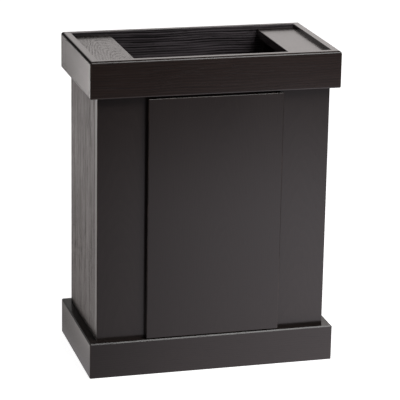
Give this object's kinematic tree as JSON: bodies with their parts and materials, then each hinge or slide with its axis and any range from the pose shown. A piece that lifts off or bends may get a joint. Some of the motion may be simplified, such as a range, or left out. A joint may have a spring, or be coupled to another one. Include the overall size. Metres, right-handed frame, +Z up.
{
  "type": "book drop box",
  "caption": "Free-standing wooden book drop box with an open tray top, a drop opening between two deck boards, and a hinged front door over the inside.",
  "frame": {"origin": "on the floor, at the centre of the footprint", "axes": "+Z up, the door faces -Y, +X to the right of someone facing the door"},
  "size_m": [0.559, 0.31, 0.7145],
  "materials": {
    "stained_wood": "satin black-brown stain over open grain",
    "inner_wood": "the same stain, less sealed",
    "dowel_wood": "bare",
    "hinge_black": "blacked, satin",
    "hardware_steel": "satin",
    "screw_steel": "zinc plated",
    "washer_nylon": "black, matt",
    "latch_plastic": "matt"
  },
  "bodies": {
    "cabinet": {"trim_front": "stained_wood", "trim_right": "stained_wood", "trim_back": "stained_wood", "trim_left": "stained_wood", "base_front": "stained_wood", "base_right": "stained_wood", "base_back": "stained_wood", "base_left": "stained_wood", "side_panel_left": "stained_wood", "side_panel_right": "stained_wood", "stile_left": "stained_wood", "stile_right": "stained_wood", "top_rail": "stained_wood", "bottom_rail": "stained_wood", "back_panel": "stained_wood", "deck_left": "stained_wood", "deck_right": "stained_wood", "deck_cleat_left": "inner_wood", "deck_cleat_right": "inner_wood", "deck_cleat_front_left": "inner_wood", "deck_cleat_front_right": "inner_wood", "deck_cleat_back_left": "inner_wood", "deck_cleat_back_right": "inner_wood", "floor_panel": "inner_wood", "floor_cleat_left": "inner_wood", "floor_cleat_right": "inner_wood", "floor_cleat_front": "inner_wood", "floor_cleat_back": "inner_wood", "frame_dowels": "dowel_wood", "hinge_top_fixed_leaf": "hinge_black", "hinge_top_pin": "hinge_black", "hinge_bottom_fixed_leaf": "hinge_black", "hinge_bottom_pin": "hinge_black", "latch_spring": "hardware_steel", "hinge_fixed_screws": "screw_steel", "trim_screws": "screw_steel", "base_screws": "screw_steel", "floor_cleat_screws": "screw_steel", "floor_screws": "screw_steel", "hinge_top_washer": "washer_nylon", "hinge_bottom_washer": "washer_nylon", "latch_housing": "latch_plastic"},
    "door": {"door_panel": "stained_wood", "hinge_top_door_leaf": "hinge_black", "hinge_bottom_door_leaf": "hinge_black", "hinge_door_screws": "screw_steel", "strike_plate": "hardware_steel", "strike_screws": "screw_steel"},
    "plunger": {"latch_plunger": "latch_plastic", "latch_magnet": "hardware_steel"}
  },
  "joints": [
    {"name": "door_hinge", "type": "hinge", "parent": "cabinet", "child": "door", "pos_m": [0.1455, -0.1455, 0.35525], "axis": [0, 0, 1], "range_deg": [0, 180]},
    {"name": "latch_plunger_slide", "type": "slide", "parent": "cabinet", "child": "plunger", "axis": [0, 1, 0], "range_m": [0, 0.0028], "stiffness_N_per_m": 400, "springref_m": -0.004, "deforming": ["latch_spring"]}
  ]
}
